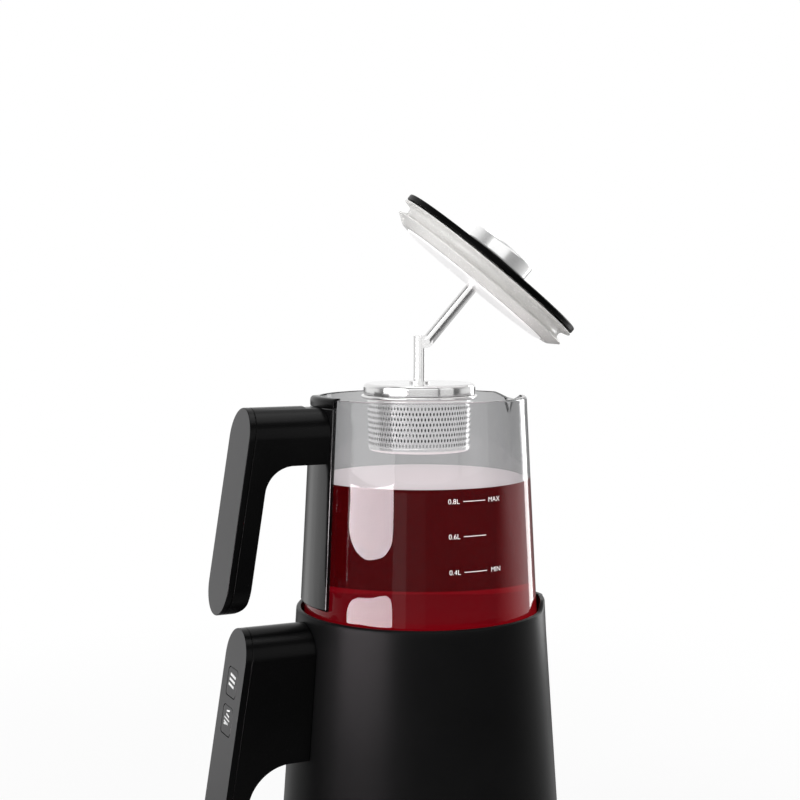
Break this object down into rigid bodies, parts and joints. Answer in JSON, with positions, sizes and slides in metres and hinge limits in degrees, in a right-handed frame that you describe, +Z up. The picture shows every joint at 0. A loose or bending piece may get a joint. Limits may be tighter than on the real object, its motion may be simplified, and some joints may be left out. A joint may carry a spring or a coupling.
{
  "type": "tea maker",
  "caption": "Cordless kettle on a power base with a glass teapot seated in its collar, a lid raised on a hinged rod and a steel infuser.",
  "frame": {"origin": "centre of the base, on the plane of its feet", "axes": "+Z up, +X towards the spouts, -X towards the handles"},
  "size_m": [0.2129, 0.1754, 0.4208],
  "materials": {
    "satin_black": "satin",
    "dull_black": "matte",
    "cover_grey": "satin",
    "rubber_grey": "matte",
    "steel": "satin",
    "aluminium": "satin",
    "board_green": "matte",
    "clear_glass": "clear",
    "silicone": "satin"
  },
  "bodies": {
    "base": {"base_housing": "satin_black", "base_underplate": "dull_black", "base_feet": "rubber_grey", "base_connector": "dull_black", "base_gland": "dull_black"},
    "coupler": {"kettle_coupler": "dull_black"},
    "kettle": {"kettle_shell": "satin_black", "kettle_collar": "satin_black", "kettle_liner": "steel", "kettle_bottom_cover": "dull_black", "heater_plate": "aluminium", "thermostat": "dull_black", "kettle_handle": "satin_black", "kettle_handle_cover": "cover_grey", "control_board": "board_green"},
    "button_upper": {"button_upper": "cover_grey"},
    "button_lower": {"button_lower": "cover_grey"},
    "teapot": {"pot_glass": "clear_glass", "pot_strap": "satin_black", "pot_clip": "satin_black", "pot_handle": "satin_black", "pot_handle_cover": "cover_grey"},
    "infuser": {"infuser_rod": "steel", "knee_pin": "steel", "infuser_cap": "steel"},
    "basket": {"basket_rim": "steel", "basket_wall": "steel"},
    "lid": {"lid_rod": "steel", "lid_plate": "satin_black", "lid_boss": "satin_black", "lid_knob": "steel", "lid_hub": "dull_black", "lid_dish": "steel", "lid_seal": "silicone"}
  },
  "joints": [
    {"name": "kettle_lift", "type": "slide", "parent": "base", "child": "coupler", "axis": [0, 0, 1], "range_m": [0, 0.1]},
    {"name": "kettle_turn", "type": "hinge", "parent": "coupler", "child": "kettle", "pos_m": [0, 0, 0.02], "axis": [0, 0, 1], "continuous": true},
    {"name": "teapot_lift", "type": "slide", "parent": "kettle", "child": "teapot", "axis": [0, 0, 1], "range_m": [0, 0.08]},
    {"name": "infuser_lift", "type": "slide", "parent": "teapot", "child": "infuser", "axis": [0.0393, -0.0183, 0.9991], "range_m": [-0.08193, 0.04]},
    {"name": "lid_tilt", "type": "hinge", "parent": "infuser", "child": "lid", "pos_m": [0.00322, -0.0015, 0.3408], "axis": [0.4226, 0.9063, 0], "range_deg": [-39.41, 19.25], "deforming": ["lid_seal"]},
    {"name": "basket_turn", "type": "hinge", "parent": "infuser", "child": "basket", "pos_m": [-0.00059, 0.00028, 0.31], "axis": [0, 0, 1], "range_deg": [0, 30]},
    {"name": "button_upper_press", "type": "slide", "parent": "kettle", "child": "button_upper", "axis": [0.9877, 0, -0.1564], "range_m": [0, 0.0008], "stiffness_N_per_m": 900, "springref_m": -0.0006},
    {"name": "button_lower_press", "type": "slide", "parent": "kettle", "child": "button_lower", "axis": [0.9877, 0, -0.1564], "range_m": [0, 0.0008], "stiffness_N_per_m": 900, "springref_m": -0.0006}
  ],
  "couplings": [
    {"joint": "lid_tilt", "follows": "infuser_lift", "rad_per_m": 8.3936}
  ]
}
